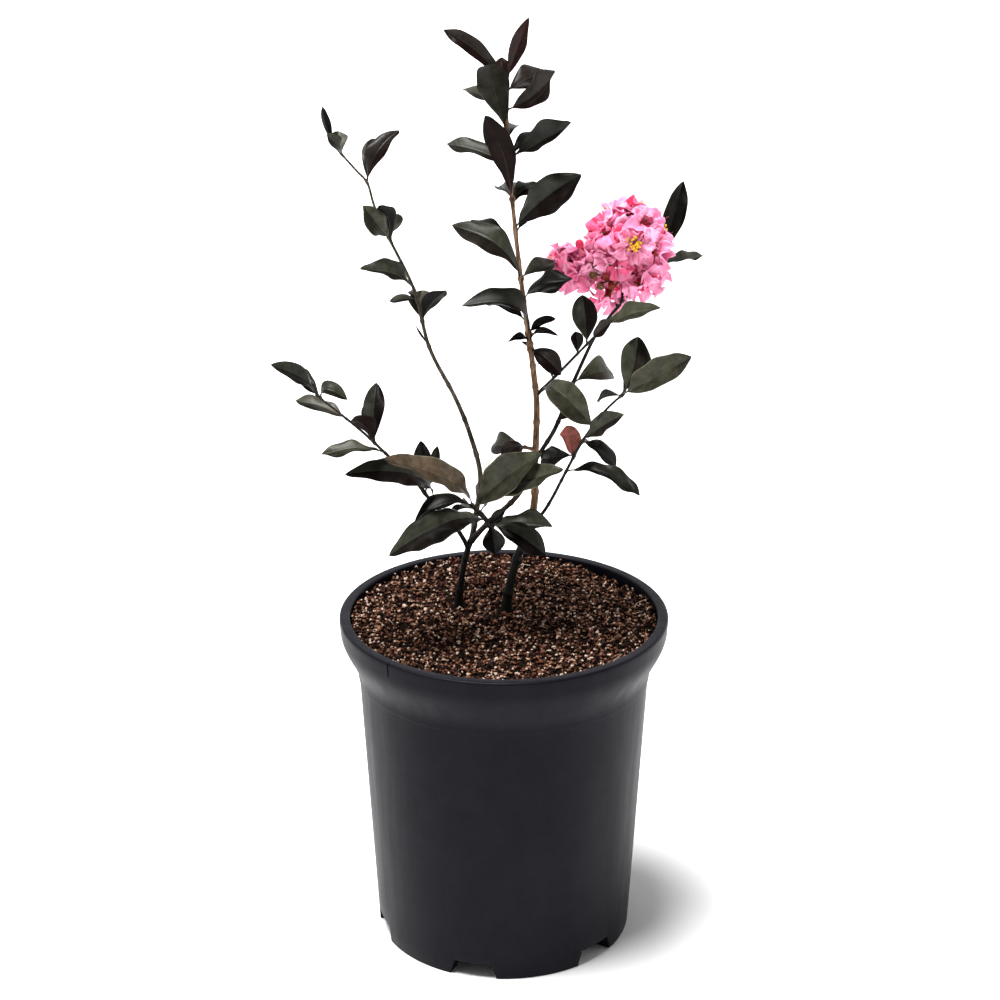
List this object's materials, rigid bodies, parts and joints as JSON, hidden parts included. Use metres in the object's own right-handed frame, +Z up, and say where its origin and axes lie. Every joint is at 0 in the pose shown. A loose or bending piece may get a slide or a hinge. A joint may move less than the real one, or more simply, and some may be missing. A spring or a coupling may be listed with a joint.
{
  "type": "potted crape myrtle",
  "caption": "Young crape myrtle with dark leaves, slender stems and a pink flower head, in a round black nursery pot.",
  "frame": {"origin": "centre of the pot on the plane that it stands on", "axes": "+Z up along the pot's axis, -Y towards the viewer of the picture, +X to the picture's right"},
  "size_m": [0.3017, 0.2394, 0.6862],
  "materials": {
    "pot_plastic": "satin, moulded",
    "potting_mix": "loose, coarse and matt",
    "bark": "smooth young bark, matt",
    "leaf": "satin upper side, paler matt underside",
    "blossom": "thin, matt and crinkled"
  },
  "bodies": {
    "root": {"pot": "pot_plastic", "potting_mix": "potting_mix", "main_stem": "bark", "left_stem": "bark", "flower_bough": "bark", "right_bough": "bark", "low_left_bough": "bark", "leader_foliage": "leaf", "left_tall_foliage": "leaf", "low_left_foliage": "leaf", "hub_foliage": "leaf", "right_foliage": "leaf", "side_foliage": "leaf", "low_stem_foliage": "leaf", "back_foliage": "leaf", "back_left_foliage": "leaf", "flower_spray": "blossom"}
  },
  "joints": []
}
